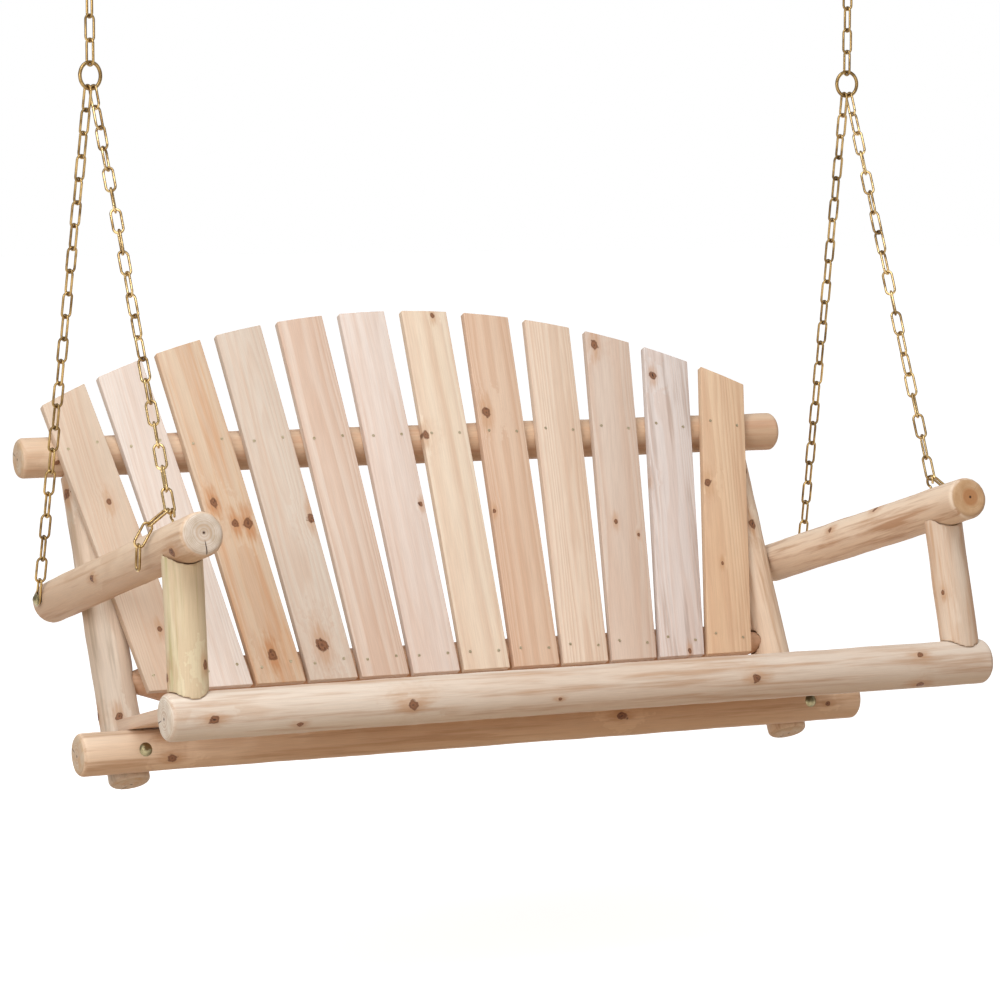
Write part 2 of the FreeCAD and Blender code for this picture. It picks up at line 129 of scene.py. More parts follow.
def ease(tree, value, start, end, low=0.0, high=1.0):
    return addShader(tree, "MapRange", {"Value": value, "From Min": start, "From Max": end,
                                        "To Min": low, "To Max": high},
                     interpolation_type="SMOOTHSTEP").outputs["Result"]


def blendColour(tree, amount, first, second, way="MIX"):
    made = addShader(tree, "Mix", {0: amount, 6: first, 7: second}, data_type="RGBA",
                     blend_type=way)
    return made.outputs[2]


def startGroup(name, inputs, outputs):
    group = bpy.data.node_groups.new(name, "ShaderNodeTree")
    for label, kind, value in inputs:
        socket = group.interface.new_socket(label, in_out="INPUT", socket_type=kind)
        if value is not None:
            socket.default_value = value
    for label in outputs:
        group.interface.new_socket(label, in_out="OUTPUT", socket_type="NodeSocketFloat")
    return group, group.nodes.new("NodeGroupInput").outputs, group.nodes.new("NodeGroupOutput").inputs


floatKind, vectorKind = "NodeSocketFloat", "NodeSocketVector"


grainShape = {"stretch": 0.09, "slow": 16.0, "quick": 90.0, "quickSway": 0.0009,
              "skip": (0.83, 0.7), "latewood": (0.15, 0.8), "winter": (0.84, 1.0),
              "fibre": (900.0, 0.025), "patch": (7.0, 0.32, 0.7), "streak": (80.0, 0.05),
              "streakCut": (0.47, 0.68)}


def makeGrainGroup():                            # growth rings and fibres; the grain runs along Z
    shape = grainShape
    tree, given, made = startGroup("woodGrain", [
        ("Vector", vectorKind, None), ("Pith", vectorKind, (0, 0, 0)),
        ("Ring", floatKind, 0.003), ("Wander", floatKind, 0.004),
        ("Push", floatKind, 0.0), ("Seed", floatKind, 0.0)],
        ("Rings", "Fibre", "Patch", "Streak"))
    along = vecCalc(tree, "MULTIPLY", given["Vector"], (1.0, 1.0, shape["stretch"]))
    slow = noise(tree, along, given["Seed"], shape["slow"], 2.0)
    quick = noise(tree, along, given["Seed"], shape["quick"], 3.0)
    across = vecCalc(tree, "SUBTRACT", given["Vector"], given["Pith"])
    across = vecCalc(tree, "MULTIPLY", across, (1.0, 1.0, 0.0))
    reach = vecCalc(tree, "LENGTH", across)
    sway = calc(tree, "MULTIPLY", calc(tree, "SUBTRACT", slow, 0.5), given["Wander"])
    sway = calc(tree, "ADD", sway, calc(tree, "MULTIPLY", quick, shape["quickSway"]))
    reach = calc(tree, "ADD", calc(tree, "ADD", reach, sway), given["Push"])
    years = calc(tree, "DIVIDE", reach, given["Ring"])
    skip, skipDepth = shape["skip"]              # some years grow wider than others
    uneven = calc(tree, "SINE", calc(tree, "MULTIPLY", years, skip))
    uneven = calc(tree, "MULTIPLY", uneven, skipDepth)
    season = calc(tree, "FRACT", calc(tree, "ADD", years, uneven))
    rise = ease(tree, season, *shape["latewood"])
    fall = ease(tree, season, *shape["winter"], 1.0, 0.0)
    tree.links.new(calc(tree, "MULTIPLY", rise, fall), made["Rings"])
    fibre, fibreStretch = shape["fibre"]
    thin = vecCalc(tree, "MULTIPLY", given["Vector"], (1.0, 1.0, fibreStretch))
    tree.links.new(noise(tree, thin, given["Seed"], fibre, 3.0, 0.6), made["Fibre"])
    patch, patchStart, patchEnd = shape["patch"]
    patches = noise(tree, along, given["Seed"], patch, 3.0, 0.6)
    tree.links.new(ease(tree, patches, patchStart, patchEnd), made["Patch"])
    streak, streakStretch = shape["streak"]
    narrow = vecCalc(tree, "MULTIPLY", given["Vector"], (1.0, 1.0, streakStretch))
    streaks = noise(tree, narrow, given["Seed"], streak, 4.0, 0.6)
    tree.links.new(ease(tree, streaks, *shape["streakCut"]), made["Streak"])
    return tree


knotShape = {"ragged": (130.0, 0.15, 1.7), "core": (0.75, 1.05), "glowSquash": (1.1, 1.0, 0.5),
             "wisp": (260.0, 0.22, 3.0), "glow": (0.5, 2.3), "bump": (0.3, 6.0), "push": 0.55,
             "whorl": (13.0, 0.4), "rim": (0.9, 0.22), "heart": (0.05, 0.35, 0.75),
             "shred": (420.0, 0.4), "shredCut": (0.57, 0.66), "shredReach": (0.45, 0.95)}


def makeKnotGroup():                             # one knot: core, halo, and how it bends the rings
    shape = knotShape
    tree, given, made = startGroup("woodKnot", [
        ("Vector", vectorKind, None), ("Place", vectorKind, (0, 0, 0)),
        ("Flatten", vectorKind, (1.0, 1.0, 0.8)), ("Size", floatKind, 0.008)],
        ("Core", "Halo", "Push", "Whorl", "Split"))
    offset = vecCalc(tree, "SUBTRACT", given["Vector"], given["Place"])
    offset = vecCalc(tree, "MULTIPLY", offset, given["Flatten"])
    odd = vecCalc(tree, "ADD", offset, given["Place"])
    ragged, raggedLeast, raggedMost = shape["ragged"]
    rough = noise(tree, odd, given["Size"], ragged, 3.0)
    reach = calc(tree, "DIVIDE", vecCalc(tree, "LENGTH", offset), given["Size"])
    rough = calc(tree, "ADD", raggedLeast, calc(tree, "MULTIPLY", rough, raggedMost))
    reach = calc(tree, "MULTIPLY", reach, rough)
    tree.links.new(ease(tree, reach, *shape["core"], 1.0, 0.0), made["Core"])
    glow = vecCalc(tree, "LENGTH", vecCalc(tree, "MULTIPLY", offset, shape["glowSquash"]))
    glow = calc(tree, "DIVIDE", glow, given["Size"])
    wisp, wispStretch, wispDepth = shape["wisp"]
    wisps = noise(tree, vecCalc(tree, "MULTIPLY", odd, (1.0, 1.0, wispStretch)), 6.0, wisp, 3.0)
    wisps = calc(tree, "MULTIPLY", calc(tree, "SUBTRACT", wisps, 0.5), wispDepth)
    glow = calc(tree, "ADD", glow, wisps)
    tree.links.new(ease(tree, glow, *shape["glow"], 1.0, 0.0), made["Halo"])
    bump = ease(tree, reach, *shape["bump"], 1.0, 0.0)
    push = calc(tree, "MULTIPLY", given["Size"], shape["push"])
    tree.links.new(calc(tree, "MULTIPLY", bump, push), made["Push"])
    whorlRate, whorlDepth = shape["whorl"]
    whorl = calc(tree, "SINE", calc(tree, "MULTIPLY", reach, whorlRate))
    rimPlace, rimWidth = shape["rim"]
    rim = calc(tree, "ABSOLUTE", calc(tree, "SUBTRACT", reach, rimPlace))
    rim = ease(tree, rim, 0.0, rimWidth, 1.0, 0.0)
    whorl = calc(tree, "MAXIMUM", calc(tree, "MULTIPLY", whorl, whorlDepth), rim, True)
    heartStart, heartEnd, heartDepth = shape["heart"]
    whorl = calc(tree, "MAXIMUM", whorl, ease(tree, reach, heartStart, heartEnd, heartDepth, 0.0))
    tree.links.new(whorl, made["Whorl"])
    shred, shredStretch = shape["shred"]
    shreds = noise(tree, vecCalc(tree, "MULTIPLY", odd, (1.0, 1.0, shredStretch)), 3.0, shred, 2.0)
    split = calc(tree, "MULTIPLY", ease(tree, shreds, *shape["shredCut"]),
                 ease(tree, reach, *shape["shredReach"], 1.0, 0.0))
    tree.links.new(split, made["Split"])
    return tree


grainGroup = makeGrainGroup()
knotGroup = makeKnotGroup()


def placeGroup(tree, group, feeds):
    made = tree.nodes.new("ShaderNodeGroup")
    made.node_tree = group
    for socket, feed in feeds.items():
        if isinstance(feed, bpy.types.NodeSocket):
            tree.links.new(feed, made.inputs[socket])
        else:
            made.inputs[socket].default_value = feed
    return made.outputs


# wood: one recipe, placed along each log or board
woodTones = {
    "knotCore": tone(134, 88, 58), "knotRim": tone(62, 36, 24), "knotHalo": tone(184, 136, 94),
    "split": tone(56, 34, 24), "endPale": tone(214, 198, 176), "endRing": tone(178, 146, 112),
    "heart": tone(172, 118, 72),
    "rough": (0.5, 0.68), "gloss": 0.32, "patchFull": 0.75, "coreFull": 0.93,
    "fibre": (0.3, 0.7, 0.93, 1.04), "bump": (0.55, 0.0005), "fibreLift": 0.35, "ringLift": 0.35,
    "knotLift": 0.5, "splitDrop": 1.5, "logKnot": (1.0, 1.0, 0.8), "boardKnot": (1.0, 0.12, 0.75),
}


def localPlace(tree, origin, turn):              # object coordinates, seen from the piece's own axes
    spot = addShader(tree, "TexCoord").outputs["Object"]
    return addShader(tree, "Mapping", {"Vector": spot, "Location": origin,
                                       "Rotation": turn.to_euler()},
                     vector_type="TEXTURE").outputs["Vector"]


def makeWood(name, look, origin, turn, radius=None):
    material = bpy.data.materials.new(name)
    material.use_nodes = True
    tree = material.node_tree
    shader = tree.nodes["Principled BSDF"]
    local = localPlace(tree, origin, turn)
    core, halo, push, split, whorl = 0.0, 0.0, 0.0, 0.0, 0.0
    for place, size in look["knots"]:
        knot = placeGroup(tree, knotGroup, {
            "Vector": local, "Place": place, "Size": size,
            "Flatten": woodTones["logKnot" if radius else "boardKnot"]})
        core = calc(tree, "MAXIMUM", knot["Core"], core)
        halo = calc(tree, "MAXIMUM", knot["Halo"], halo)
        push = calc(tree, "ADD", knot["Push"], push)
        split = calc(tree, "MAXIMUM", knot["Split"], split)
        whorl = calc(tree, "ADD", calc(tree, "MULTIPLY", knot["Whorl"], knot["Core"]), whorl)
    grain = placeGroup(tree, grainGroup, {
        "Vector": local, "Pith": look["pith"], "Ring": look["ring"], "Wander": look["wander"],
        "Push": push, "Seed": look["seed"]})
    patches = calc(tree, "MULTIPLY", grain["Patch"], woodTones["patchFull"])
    colour = blendColour(tree, patches, look["pale"], look["warm"])
    colour = blendColour(tree, calc(tree, "MULTIPLY", grain["Streak"], look["streaky"]), colour,
                         look["streak"])
    colour = blendColour(tree, calc(tree, "MULTIPLY", grain["Rings"], look["ringy"]), colour,
                         look["late"])
    fibre = ease(tree, grain["Fibre"], *woodTones["fibre"])
    colour = blendColour(tree, 1.0, colour, fibre, "MULTIPLY")
    height = calc(tree, "MULTIPLY", grain["Fibre"], woodTones["fibreLift"])
    height = calc(tree, "ADD", height, calc(tree, "MULTIPLY", grain["Rings"], woodTones["ringLift"]))
    if radius:
        colour, height = addEndGrain(tree, look, local, turn, radius, grain, colour, height)
    colour = blendColour(tree, calc(tree, "MULTIPLY", halo, look["haloFull"]), colour, look["halo"])
    eye = blendColour(tree, whorl, woodTones["knotCore"], woodTones["knotRim"])
    colour = blendColour(tree, calc(tree, "MULTIPLY", core, woodTones["coreFull"]), colour, eye)
    colour = blendColour(tree, split, colour, woodTones["split"])
    height = calc(tree, "ADD", height, calc(tree, "MULTIPLY", core, woodTones["knotLift"]))
    height = calc(tree, "SUBTRACT", height, calc(tree, "MULTIPLY", split, woodTones["splitDrop"]))
    tree.links.new(colour, shader.inputs["Base Color"])
    tree.links.new(ease(tree, grain["Fibre"], 0.2, 0.8, *woodTones["rough"]),
                   shader.inputs["Roughness"])
    shader.inputs["Specular IOR Level"].default_value = woodTones["gloss"]
    strength, depth = woodTones["bump"]
    bump = addShader(tree, "Bump", {"Height": height, "Strength": strength, "Distance": depth})
    tree.links.new(bump.outputs["Normal"], shader.inputs["Normal"])
    return material


endShape = {"cut": (0.62, 0.86), "blotch": (60.0, 0.35, 0.7), "rings": 0.45, "heart": (0.3, 0.52),
            "rim": (0.7, 0.95), "pith": (0.03, 0.09), "checkWander": 0.002,
            "checkWidth": (0.0003, 0.0012), "checkReach": (0.25, 0.5), "checkDrop": 2.0}


def addEndGrain(tree, look, local, turn, radius, grain, colour, height):
    shape = endShape                             # a sawn end: rings, a pith and a drying check
    facing = addShader(tree, "TexCoord").outputs["Normal"]
    along = vecCalc(tree, "DOT_PRODUCT", facing, tuple(turn @ Vector((0, 0, 1))))
    cut = ease(tree, calc(tree, "ABSOLUTE", along), *shape["cut"])
    parts = addShader(tree, "SeparateXYZ", {0: local}).outputs
    flat = addShader(tree, "CombineXYZ", {0: parts["X"], 1: parts["Y"]}).outputs[0]
    flat = vecCalc(tree, "SUBTRACT", flat, look["pith"])
    reach = calc(tree, "DIVIDE", vecCalc(tree, "LENGTH", flat), radius)
    blotchSize, blotchStart, blotchEnd = shape["blotch"]
    blotch = noise(tree, flat, look["seed"], blotchSize, 3.0)
    cutColour = blendColour(tree, ease(tree, blotch, blotchStart, blotchEnd), look["endPale"],
                            look["endWarm"])
    rings = calc(tree, "MULTIPLY", grain["Rings"], shape["rings"])
    cutColour = blendColour(tree, rings, cutColour, woodTones["endRing"])
    heart = calc(tree, "MULTIPLY", ease(tree, reach, *shape["heart"], 1.0, 0.0), look["heartFull"])
    cutColour = blendColour(tree, heart, cutColour, woodTones["heart"])
    rim = ease(tree, reach, *shape["rim"])
    cutColour = blendColour(tree, calc(tree, "MULTIPLY", rim, look["endRim"]), cutColour,
                            woodTones["endRing"])
    pith = ease(tree, reach, *shape["pith"], 1.0, 0.0)
    cutColour = blendColour(tree, pith, cutColour, woodTones["knotRim"])
    bearing = math.radians(look["checkTurn"])
    off = vecCalc(tree, "DOT_PRODUCT", flat, (-math.sin(bearing), math.cos(bearing), 0))
    down = vecCalc(tree, "DOT_PRODUCT", flat, (math.cos(bearing), math.sin(bearing), 0))
    wander = calc(tree, "MULTIPLY", calc(tree, "SUBTRACT", blotch, 0.5), shape["checkWander"])
    off = calc(tree, "ABSOLUTE", calc(tree, "ADD", off, wander))
    checkStart, checkEnd = (radius * share for share in shape["checkReach"])
    check = calc(tree, "MULTIPLY", ease(tree, off, *shape["checkWidth"], 1.0, 0.0),
                 ease(tree, down, checkStart, checkEnd, 0.0, look["checkFull"]))
    cutColour = blendColour(tree, check, cutColour, woodTones["split"])
    colour = blendColour(tree, cut, colour, cutColour)
    check = calc(tree, "MULTIPLY", calc(tree, "MULTIPLY", check, cut), shape["checkDrop"])
    return colour, calc(tree, "SUBTRACT", height, check)


def axesFrom(alongWay, sideWay):                 # columns: side, the third way, along the grain
    alongWay = alongWay.normalized()
    sideWay = (sideWay - alongWay * sideWay.dot(alongWay)).normalized()
    third = alongWay.cross(sideWay)
    return Matrix((sideWay, third, alongWay)).transposed()


# logs
logShape = {"voxel": 0.0026, "smooth": 0.5, "smoothRounds": 5,
            "hollows": (0.11, 0.0022), "ripples": (0.03, 0.0007), "inward": 0.72,
            "knotLift": 0.0011, "knotSpread": 2.4}
logLook = {"pale": tone(230, 212, 190), "warm": tone(216, 190, 162), "late": tone(190, 152, 118),
           "streak": tone(176, 132, 94), "streaky": 0.62, "ringy": 0.3, "ring": 0.0031,
           "wander": 0.011, "pith": (0.001, 0.0015, 0.0), "seed": 1.0, "knots": [],
           "endPale": woodTones["endPale"], "endWarm": tone(205, 172, 134), "endRim": 0.25,
           "checkTurn": 200, "checkFull": 1.0, "heartFull": 0.1, "halo": woodTones["knotHalo"],
           "haloFull": 0.55}


def dentTexture(name, size):
    texture = bpy.data.textures.new(name, "CLOUDS")
    texture.noise_scale = size
    texture.noise_depth = 1
    return texture


hollowDents = dentTexture("hollows", logShape["hollows"][0])
rippleDents = dentTexture("ripples", logShape["ripples"][0])


def liftKnot(piece, place, size):                # a trimmed branch stub stands a little proud
    for vertex in piece.data.vertices:
        reach = (vertex.co - place).length / (size * logShape["knotSpread"])
        if reach < 1.0:
            vertex.co += vertex.normal * (logShape["knotLift"] * (1.0 - reach * reach) ** 2)


def makeLog(node, start, end, sideWay, radius, knots=(), **changes):
    piece = copyNode(node, node + "_peeled")
    addModifier(piece, "REMESH", mode="VOXEL", voxel_size=logShape["voxel"], use_smooth_shade=True)
    addModifier(piece, "SMOOTH", factor=logShape["smooth"], iterations=logShape["smoothRounds"])
    for texture, depth in ((hollowDents, logShape["hollows"][1]),
                           (rippleDents, logShape["ripples"][1])):
        addModifier(piece, "DISPLACE", texture=texture, strength=depth,
                    mid_level=logShape["inward"], texture_coords="LOCAL")
    turn = axesFrom(end - start, sideWay)
    look = dict(logLook, **changes)
    look["knots"] = []
    for along, bearing, size in knots:
        a = math.radians(bearing)
        place = Vector((math.cos(a) * radius, math.sin(a) * radius, along))
        look["knots"].append((tuple(place), size))
        liftKnot(piece, start + turn @ place, size)
    piece.data.materials.append(makeWood(node + "Wood", look, start, turn, radius))
    pickOnly(piece)
    bpy.ops.object.shade_smooth()
    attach(piece, "swing")
    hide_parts(node)
    return piece


def crossLog(node, radius, **details):           # a log that runs from side to side
    low, high = (Vector(corner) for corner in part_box(node))
    middle = (low + high) / 2
    start = Vector((low.x, middle.y, middle.z))
    end = Vector((high.x, middle.y, middle.z))
    return makeLog(node, start, end, frontWay, radius, **details)


crossLog("front_log", 0.035, seed=3.0, pale=tone(226, 216, 202), warm=tone(208, 186, 166),
         checkTurn=160, endPale=tone(232, 226, 214), endWarm=tone(216, 204, 188), endRim=0.1,
         knots=[(0.063, 2, 0.006), (0.193, 30, 0.004), (0.365, 0, 0.0075), (0.6, 11, 0.003),
                (0.928, -6, 0.006), (1.219, 45, 0.006), (1.218, -37, 0.005), (0.50, 120, 0.007),
                (1.05, 170, 0.006)])
crossLog("lower_log", 0.0335, seed=7.0, pale=tone(236, 212, 186), warm=tone(220, 186, 152),
         knots=[(0.141, 16, 0.007), (0.140, -42, 0.006), (0.902, -9, 0.007), (0.45, 200, 0.007),
                (1.282, 0, 0.0045)])
crossLog("top_log", 0.0325, seed=12.0, pale=tone(224, 200, 174), warm=tone(204, 168, 134),
         streak=tone(190, 130, 98), streaky=0.4,
         knots=[(0.055, 10, 0.004), (0.33, 150, 0.007), (0.86, 185, 0.008), (1.2, 140, 0.006)])
# the back rail gets darker, browner tones than the other logs: painted shade, because the rail sits in
# shade behind the slats
crossLog("back_rail", 0.0325, seed=17.0, pale=tone(214, 178, 148), warm=tone(194, 146, 112),
         knots=[(0.31, 170, 0.007), (0.77, 160, 0.006)])
print("cross logs peeled")

sideSigns = {"left": -1.0, "right": 1.0}
logChamfer, uprightRadius, postRadius = 0.006, 0.0325, 0.03
railMiddle = middleOf("back_rail")
topMiddle = middleOf("top_log")
backWay = (topMiddle - railMiddle).normalized()  # the uprights run through both of these logs
recline = math.atan2(backWay.y, backWay.z)
uprightLooks = {
    "left": {"seed": 21.0, "pale": tone(226, 212, 195), "warm": tone(208, 185, 162),
             "streak": tone(158, 140, 116), "streaky": 0.5,
             "knots": [(0.475, -74, 0.008), (0.113, -97, 0.006), (0.101, -19, 0.006),
                       (0.30, 150, 0.006)]},
    "right": {"seed": 26.0, "warm": tone(216, 182, 148),
              "knots": [(0.362, 4, 0.007), (0.461, 26, 0.005), (0.2, 170, 0.007)]},
}
for side in sideSigns:
    node = side + "_upright"
    low, high = (Vector(corner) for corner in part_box(node))
    footZ = low.z + (uprightRadius - logChamfer) * math.sin(recline)
    foot = Vector(((low.x + high.x) / 2, railMiddle.y, railMiddle.z))
    foot += backWay * ((footZ - foot.z) / backWay.z)
    makeLog(node, foot, Vector((foot.x, topMiddle.y, topMiddle.z)), frontWay, uprightRadius,
            **uprightLooks[side])

armTilt = math.radians(14.65)
armRadius = 0.033
armLooks = {
    "left": {"seed": 31.0, "endPale": tone(212, 202, 190), "endWarm": tone(190, 176, 158),
             "endRim": 0.1, "checkTurn": 176,
             "pale": tone(226, 205, 180), "warm": tone(208, 178, 150),
             "knots": [(0.054, -120, 0.0075), (0.381, -96, 0.006), (0.22, 60, 0.005)]},
    "right": {"seed": 36.0, "endPale": tone(205, 170, 132), "endWarm": tone(190, 150, 108),
              "endRim": 0.8, "checkTurn": 40, "checkFull": 0.15, "heartFull": 0.8,
              "streaky": 0.75, "warm": tone(210, 174, 142),
              "streak": tone(168, 120, 80),
              "knots": [(0.257, -38, 0.006), (0.395, -63, 0.005), (0.12, 100, 0.006)]},
}
for side, sign in sideSigns.items():
    low, high = (Vector(corner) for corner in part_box(side + "_arm"))
    inset = (armRadius - logChamfer) * math.sin(armTilt)
    rise = armRadius * math.cos(armTilt) - logChamfer * math.sin(armTilt)
    inner, outer = (high.x, low.x) if sign < 0 else (low.x, high.x)
    start = Vector((inner + sign * armRadius, low.y + inset, high.z - rise))
    end = Vector((outer - sign * armRadius, high.y - inset, low.z + rise))
    makeLog(side + "_arm", start, end, upWay, armRadius, **armLooks[side])

postLooks = {
    "left": {"seed": 41.0, "pale": tone(224, 211, 180), "warm": tone(206, 189, 154),
             "streak": tone(166, 158, 104), "streaky": 0.7,
             "knots": [(0.07, 38, 0.006), (0.055, -92, 0.006)]},
    "right": {"seed": 46.0, "pale": tone(223, 207, 189), "warm": tone(206, 180, 154),
              "streak": tone(190, 140, 92),
              "knots": [(0.11, -61, 0.0035)]},
}
postLean = math.radians(12.3)
for side, sign in sideSigns.items():
    low, high = (Vector(corner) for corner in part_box(side + "_arm_post"))
    logMiddle = middleOf("front_log")
    inner, outer = (high.x, low.x) if sign < 0 else (low.x, high.x)
    foot = Vector((outer - sign * postRadius, logMiddle.y, logMiddle.z))
    tall = high.z - logMiddle.z
    head = Vector((inner + sign * postRadius, foot.y + tall * math.tan(postLean), foot.z + tall))
    makeLog(side + "_arm_post", foot, head, frontWay, postRadius, **postLooks[side])
print("uprights, arms and posts peeled")

# slats: planed boards, each from its own tree
slatShape = {"edge": 0.0013, "rounds": 3, "endSlice": 0.025}
slatLook = {"pale": tone(230, 205, 182), "warm": tone(216, 182, 152), "late": tone(192, 148, 116),
            "streak": tone(198, 156, 124), "streaky": 0.22, "ringy": 0.24, "ring": 0.0042,
            "wander": 0.024, "pith": (0.004, 0.06, 0.0), "seed": 1.0, "knots": [],
            "halo": woodTones["knotHalo"], "haloFull": 0.5}
slatLooks = [
    {"pale": tone(215, 197, 177), "warm": tone(203, 176, 151), "knots": [(-11, 316, 5), (6, 98, 4)]},
    {"pale": tone(229, 220, 211), "warm": tone(219, 202, 189), "ringy": 0.14, "knots": []},
    {"pale": tone(214, 193, 169), "warm": tone(197, 165, 132), "streaky": 0.5, "ringy": 0.3,
     "streak": tone(206, 148, 96), "halo": tone(184, 124, 72), "haloFull": 0.75,
     "knots": [(-21, 308, 7), (4, 268, 6), (25, 264, 8), (-2, 46, 8)]},
    {"pale": tone(216, 205, 191), "warm": tone(205, 186, 168), "ringy": 0.18,
     "knots": [(36, 267, 7), (-5, 57, 10)]},
    {"pale": tone(223, 209, 195), "warm": tone(209, 182, 162), "ringy": 0.32, "knots": []},
    {"pale": tone(225, 212, 202), "warm": tone(217, 197, 182), "ringy": 0.16,
     "knots": [(33, 284, 4)]},
    {"pale": tone(229, 213, 192), "warm": tone(220, 196, 168), "knots": [(13, 618, 4), (-36, 405, 6)]},
    {"pale": tone(217, 191, 167), "warm": tone(201, 163, 136), "ringy": 0.36,
     "knots": [(-25, 440, 8), (-36, 266, 4)]},
    {"pale": tone(229, 214, 196), "warm": tone(218, 194, 171), "ringy": 0.28, "knots": []},
    {"pale": tone(217, 201, 186), "warm": tone(203, 180, 162), "streak": tone(180, 150, 132),
     "knots": [(-25, 558, 7), (-13, 239, 4), (26, 219, 3)]},
    {"pale": tone(222, 213, 207), "warm": tone(210, 193, 184), "streak": tone(162, 138, 124),
     "streaky": 0.55, "ringy": 0.18, "knots": [(1, 501, 6), (-29, 315, 5), (14, 8, 4)]},
    {"pale": tone(226, 199, 168), "warm": tone(209, 170, 132), "ringy": 0.32, "streaky": 0.35,
     "knots": [(-15, 302, 6), (-38, 288, 4), (0, 158, 3)]},
]


def makeBoard(node):
    piece = copyNode(node, node + "_planed")
    addModifier(piece, "BEVEL", width=slatShape["edge"], segments=slatShape["rounds"],
                limit_method="ANGLE", angle_limit=math.radians(35))
    pickOnly(piece)
    bpy.ops.object.shade_smooth_by_angle(angle=math.radians(30))
    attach(piece, "swing")
    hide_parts(node)
    return piece


def endMiddles(piece, way):                      # the middles of a board's two ends
    reaches = [(v.co.dot(way), v.co) for v in piece.data.vertices]
    least, most = min(r for r, c in reaches), max(r for r, c in reaches)
    ends = []
    for limit in (least, most):
        near = [c for r, c in reaches if abs(r - limit) < slatShape["endSlice"]]
        ends.append(sum(near, Vector()) / len(near))
    return ends


for number, changes in enumerate(slatLooks, 1):
    node = "back_slat_%02d" % number
    piece = makeBoard(node)
    low, high = endMiddles(piece, backWay)
    turn = axesFrom(high - low, rightWay)
    look = dict(slatLook, seed=50.0 + number * 1.7, **changes)
    look["pith"] = (0.012 * math.sin(number * 2.4), 0.055 + 0.02 * math.cos(number * 1.9), 0.0)
    look["knots"] = [((u / 1000, 0.0, v / 1000), size / 1000) for u, v, size in changes["knots"]]
    piece.data.materials.append(makeWood(node + "Wood", look, low, turn))
print("slats planed")

seatLooks = [
    {"pale": tone(229, 203, 178), "warm": tone(216, 182, 152)},
    {"pale": tone(224, 192, 162), "warm": tone(208, 166, 134), "ringy": 0.34},
    {"pale": tone(234, 214, 194), "warm": tone(224, 196, 170), "streaky": 0.35},
]
for number in range(1, 14):
    node = "seat_board_%02d" % number
    piece = makeBoard(node)
    rear, front = endMiddles(piece, frontWay)
    turn = axesFrom(front - rear, rightWay)
    look = dict(slatLook, seed=90.0 + number * 2.3, **seatLooks[number * 2 % 3])
    look["pith"] = (0.014 * math.sin(number * 1.7), -0.05 - 0.02 * math.cos(number * 2.1), 0.0)
    swing = math.sin(number * 3.3)
    look["knots"] = [((0.026 * swing, 0.0, 0.2 + 0.12 * math.cos(number * 2.7)),
                      0.005 + 0.002 * abs(swing))]
    piece.data.materials.append(makeWood(node + "Wood", look, rear, turn))
print("seat boards planed")

# metal
metalLooks = {
    "chainGold": {"bright": tone(206, 178, 126), "dull": tone(124, 96, 58), "rough": (0.18, 0.42),
                  "patch": 42.0},
    "chainBronze": {"bright": tone(178, 148, 96), "dull": tone(112, 88, 54), "rough": (0.26, 0.5),
                    "patch": 38.0},
    "boltZinc": {"bright": tone(158, 146, 112), "dull": tone(92, 84, 60), "rough": (0.3, 0.5),
                 "patch": 60.0},
    "nailSteel": {"bright": tone(214, 200, 170), "dull": tone(164, 148, 118), "rough": (0.4, 0.6),
                  "patch": 300.0},
}

metalBump = {"speck": 900.0, "strength": 0.25, "depth": 0.0002, "tarnish": (0.35, 0.68)}


def makeMetal(name):
    look = metalLooks[name]
    material = bpy.data.materials.new(name)
    material.use_nodes = True
    tree = material.node_tree
    shader = tree.nodes["Principled BSDF"]
    spot = addShader(tree, "TexCoord").outputs["Object"]
    tarnish = noise(tree, spot, 2.0, look["patch"], 4.0, 0.6)
    tarnish = ease(tree, tarnish, *metalBump["tarnish"])
    speck = noise(tree, spot, 5.0, metalBump["speck"], 2.0)
    tree.links.new(blendColour(tree, tarnish, look["bright"], look["dull"]),
                   shader.inputs["Base Color"])
    tree.links.new(ease(tree, tarnish, 0.0, 1.0, *look["rough"]), shader.inputs["Roughness"])
    shader.inputs["Metallic"].default_value = 1.0
    bump = addShader(tree, "Bump", {"Height": speck, "Strength": metalBump["strength"],
                                    "Distance": metalBump["depth"]})
    tree.links.new(bump.outputs["Normal"], shader.inputs["Normal"])
    return material


metals = {name: makeMetal(name) for name in metalLooks}
metalNodes = {
    "chainGold": ["front_chain", "chain_tail", "arm_hook"],
    "chainBronze": ["rear_chain", "ring", "upper_chain", "ceiling_hook"],
}


def coatNode(node, material):
    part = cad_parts[node]
    part.data.materials.clear()
    part.data.materials.append(material)


for finish, endings in metalNodes.items():
    for ending in endings:
        for side in sideSigns:
            coatNode(side + "_" + ending, metals[finish])
for node in ("upright_bolts", "upright_bolt_nuts", "arm_bolts", "arm_bolt_washers",
             "arm_bolt_nuts"):
    coatNode(node, metals["boltZinc"])
for node in ("slat_nails", "seat_nails"):
    coatNode(node, metals["nailSteel"])
dowelLook = dict(slatLook, seed=140.0)
coatNode("frame_dowels", makeWood("dowelWood", dowelLook, Vector(), Matrix.Identity(3)))
print("metal finished")

# studio
studio = {"floorDrop": 0.28, "floorReach": 40.0, "white": tone(250, 250, 250), "floorGlow": 0.6,
          "skyAbove": (0.52, 0.52, 0.53, 1.0), "skyBelow": (0.41, 0.27, 0.15, 1.0),
          "skyTurn": (-0.45, 0.5), "middle": (2.0, 1.0)}


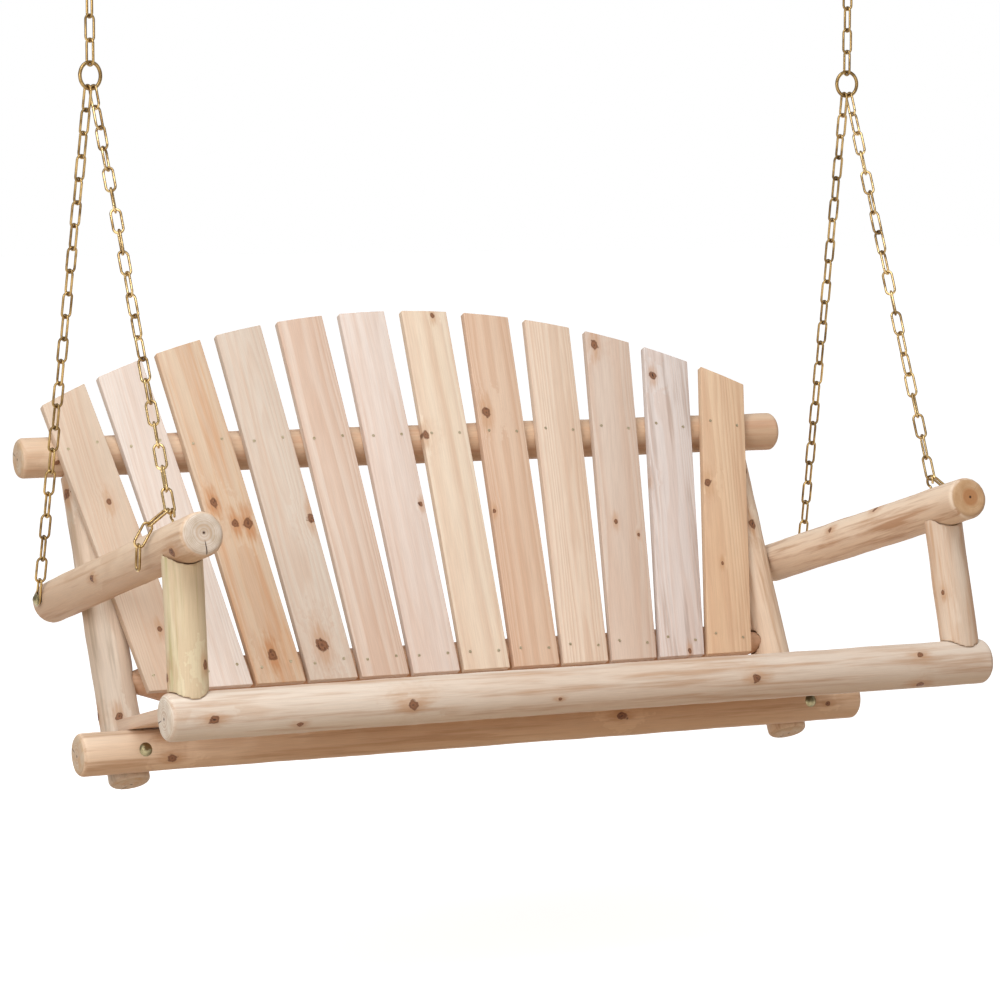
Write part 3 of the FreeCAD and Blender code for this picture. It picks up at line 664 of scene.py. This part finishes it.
def makeStudio():
    floorZ = cadBox[0][2] - studio["floorDrop"]
    bpy.ops.object.select_all(action="DESELECT")
    bpy.ops.mesh.primitive_plane_add(size=studio["floorReach"] * 2,
                                     location=(*studio["middle"], floorZ))
    floor = bpy.context.object
    floor.name = "studio_floor"
    paper = bpy.data.materials.new("studioPaper")
    paper.use_nodes = True
    shader = paper.node_tree.nodes["Principled BSDF"]
    shader.inputs["Base Color"].default_value = studio["white"]
    shader.inputs["Roughness"].default_value = 0.9
    shader.inputs["Emission Color"].default_value = studio["white"]
    shader.inputs["Emission Strength"].default_value = studio["floorGlow"]
    tree = paper.node_tree
    behind = addShader(tree, "NewGeometry").outputs["Backfacing"]
    through = addShader(tree, "BsdfTransparent").outputs[0]      # clear when seen from below
    shown = addShader(tree, "MixShader", {0: behind, 1: shader.outputs[0], 2: through})
    tree.links.new(shown.outputs[0], tree.nodes["Material Output"].inputs["Surface"])
    floor.data.materials.append(paper)
    floor.visible_diffuse = False                # the floor throws no light up at the logs
    world = bpy.context.scene.world or bpy.data.worlds.new("World")
    bpy.context.scene.world = world
    world.use_nodes = True
    tree = world.node_tree
    sky = tree.nodes["Background"].inputs
    seen = addShader(tree, "LightPath").outputs["Is Camera Ray"]
    way = addShader(tree, "TexCoord").outputs["Generated"]
    height = addShader(tree, "SeparateXYZ", {0: way}).outputs["Z"]
    light = blendColour(tree, ease(tree, height, *studio["skyTurn"]), studio["skyBelow"],
                        studio["skyAbove"])
    tree.links.new(blendColour(tree, seen, light, (1.0, 1.0, 1.0, 1.0)), sky["Color"])


softLights = {"keyLight": {"place": (-1.2, -1.7, 2.6), "size": 2.4, "power": 102},
              "fillLight": {"place": (-3.4, -3.2, 0.2), "size": 2.0, "power": 82}}
lightTarget, lightColour = Vector((0.0, 0.0, -1.0)), (0.985, 0.99, 1.0)


def addSoftLight(name):
    setup = softLights[name]
    bpy.ops.object.light_add(type="AREA", location=setup["place"])
    light = bpy.context.object
    light.name = name
    light.data.size = setup["size"]
    light.data.energy = setup["power"]
    light.data.color = lightColour
    aim = lightTarget - Vector(setup["place"])
    light.rotation_euler = aim.to_track_quat("-Z", "Y").to_euler()


makeStudio()
for name in softLights:
    addSoftLight(name)

cameraSetup = {"place": (-2.2902, -4.9669, -0.3838), "lens": 125.98, "sensor": 36.0,
               "bearing": 24.96, "dip": 5.44}
bpy.ops.object.camera_add(location=cameraSetup["place"])
camera = bpy.context.object
camera.data.sensor_width = cameraSetup["sensor"]
camera.data.lens = cameraSetup["lens"]
camera.rotation_euler = Euler((math.radians(90 - cameraSetup["dip"]), 0.0,
                               math.radians(-cameraSetup["bearing"])))
bpy.context.scene.camera = camera
bpy.context.scene.view_settings.view_transform = "Standard"
print("studio lit")
